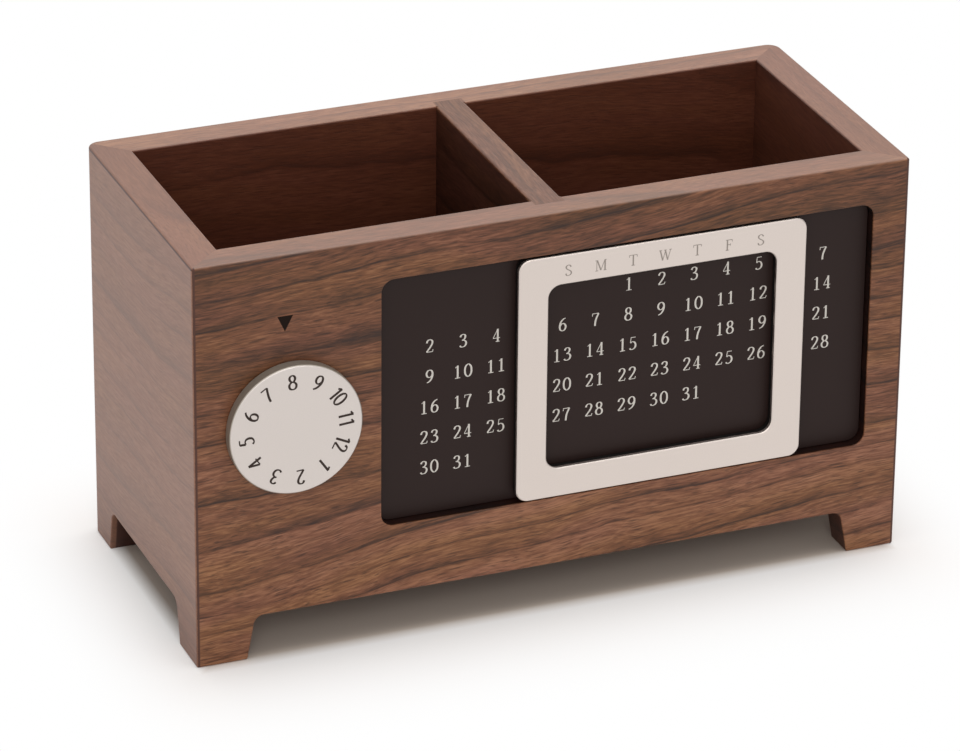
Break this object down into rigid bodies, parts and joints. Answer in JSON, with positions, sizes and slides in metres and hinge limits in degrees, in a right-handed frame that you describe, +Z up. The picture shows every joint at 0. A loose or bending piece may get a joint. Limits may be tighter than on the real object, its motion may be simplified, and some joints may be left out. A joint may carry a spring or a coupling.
{
  "type": "desk pen holder with perpetual calendar",
  "caption": "Open walnut desk organiser on bracket feet, divided into compartments, with a sliding perpetual calendar frame and a turning month dial in its front.",
  "frame": {"origin": "on the surface it stands on, under the middle of the whole object's bounding box", "axes": "+X to the viewer's right along the front, +Y from the calendar's face to the back, +Z up"},
  "size_m": [0.17, 0.076, 0.097],
  "materials": {
    "walnut": "oiled walnut, horizontal grain",
    "date_plate": "matt black lacquer on sheet steel, white printed dates",
    "satin_metal": "bead-blasted and clear anodised, dark printed letters",
    "carrier": "moulded black",
    "magnet": "nickel plated",
    "bush": "turned",
    "steel": "zinc plated"
  },
  "bodies": {
    "case": {"front_panel": "walnut", "back_panel": "walnut", "left_side_panel": "walnut", "right_side_panel": "walnut", "divider_panel": "walnut", "floor_panel": "walnut", "date_plate": "date_plate", "dial_bushing": "bush"},
    "date_slider": {"slider_frame": "satin_metal", "slider_carrier": "carrier", "slider_magnets": "magnet"},
    "dial": {"month_dial": "satin_metal", "dial_spindle": "steel", "dial_washer": "steel", "dial_screw": "steel"}
  },
  "joints": [
    {"name": "date_slider_travel", "type": "slide", "parent": "case", "child": "date_slider", "axis": [1, 0, 0], "range_m": [-0.0316, 0.0158]},
    {"name": "month_dial_turn", "type": "hinge", "parent": "case", "child": "dial", "pos_m": [-0.0624, -0.035, 0.0562], "axis": [0, -1, 0], "continuous": true}
  ]
}
